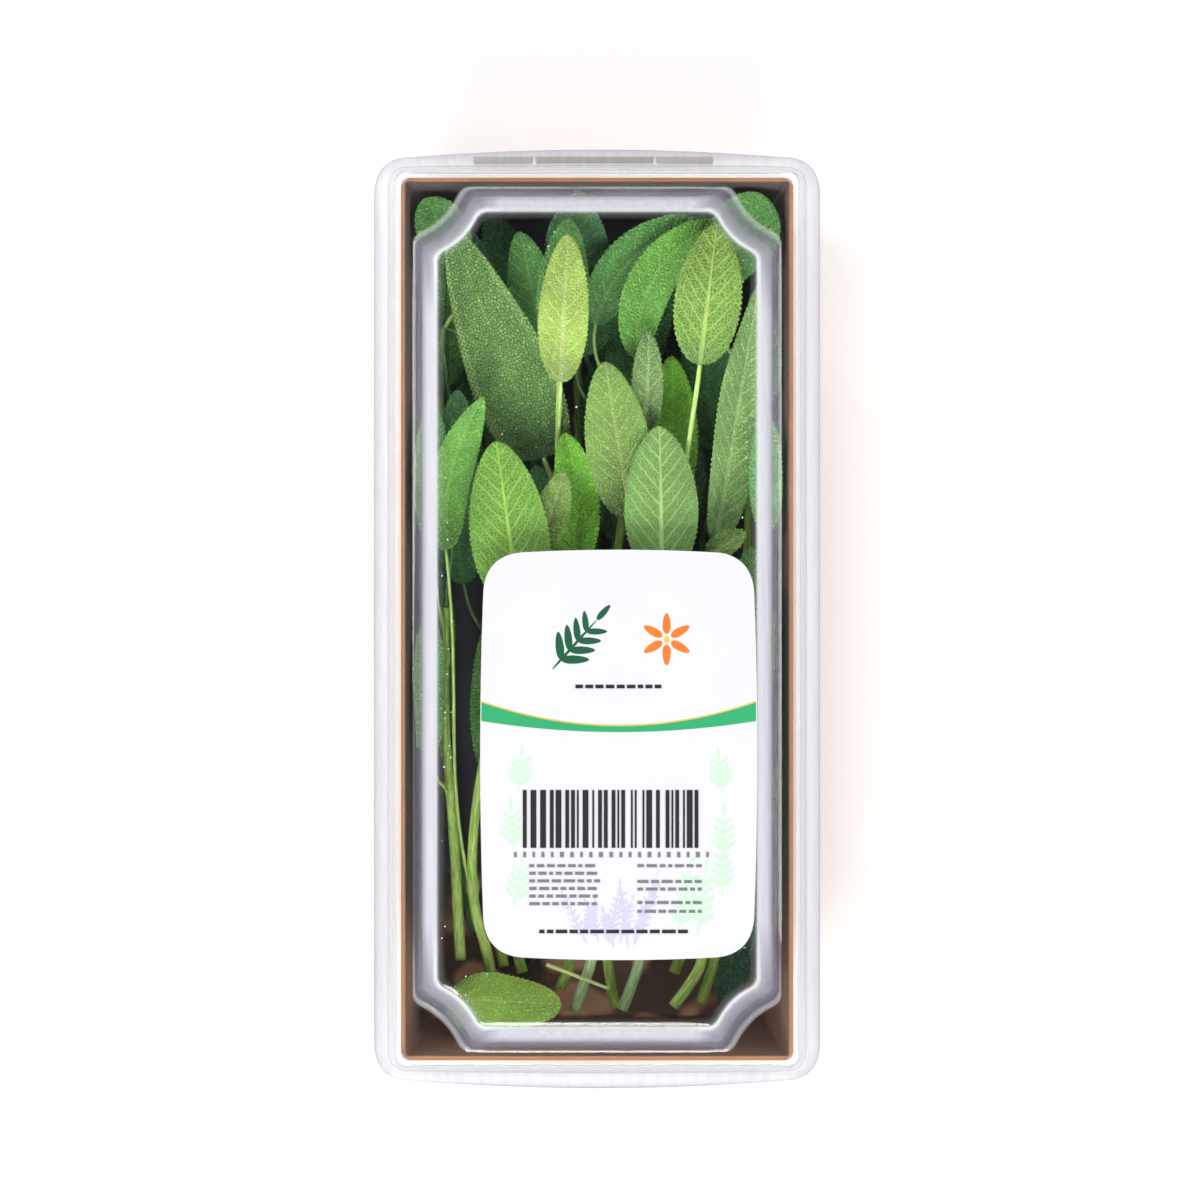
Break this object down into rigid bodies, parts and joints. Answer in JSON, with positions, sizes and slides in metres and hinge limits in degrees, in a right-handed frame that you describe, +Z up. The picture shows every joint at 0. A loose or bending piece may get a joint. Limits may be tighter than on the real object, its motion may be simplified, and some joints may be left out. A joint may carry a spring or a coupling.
{
  "type": "sage bunch",
  "caption": "Bunch of fresh sage sprigs and leaves, packed in a folded kraft tray under a clear lid with a paper label.",
  "frame": {"origin": "middle of the tray's underside, on the surface that the pack lies on", "axes": "+Y along the pack from the cut stems to the leaf tips, +Z up through the lid"},
  "size_m": [0.078, 0.1642, 0.0371],
  "materials": {
    "kraft": "matte",
    "clear": "gloss",
    "paper": "satin",
    "sage": "matte"
  },
  "bodies": {
    "root": {"label": "paper", "lid": "clear", "loose_leaf_front": "sage", "loose_leaf_low": "sage", "loose_leaf_right": "sage", "loose_stalk": "sage", "sprig_arched": "sage", "sprig_corner": "sage", "sprig_far_end": "sage", "sprig_far_right": "sage", "sprig_left_main": "sage", "sprig_left_pair": "sage", "sprig_left_tall": "sage", "sprig_long_petiole": "sage", "sprig_low_1": "sage", "sprig_low_2": "sage", "sprig_low_3": "sage", "sprig_low_4": "sage", "sprig_low_5": "sage", "sprig_middle": "sage", "sprig_middle_broad": "sage", "sprig_right": "sage", "sprig_young": "sage", "tray": "kraft"}
  },
  "joints": []
}
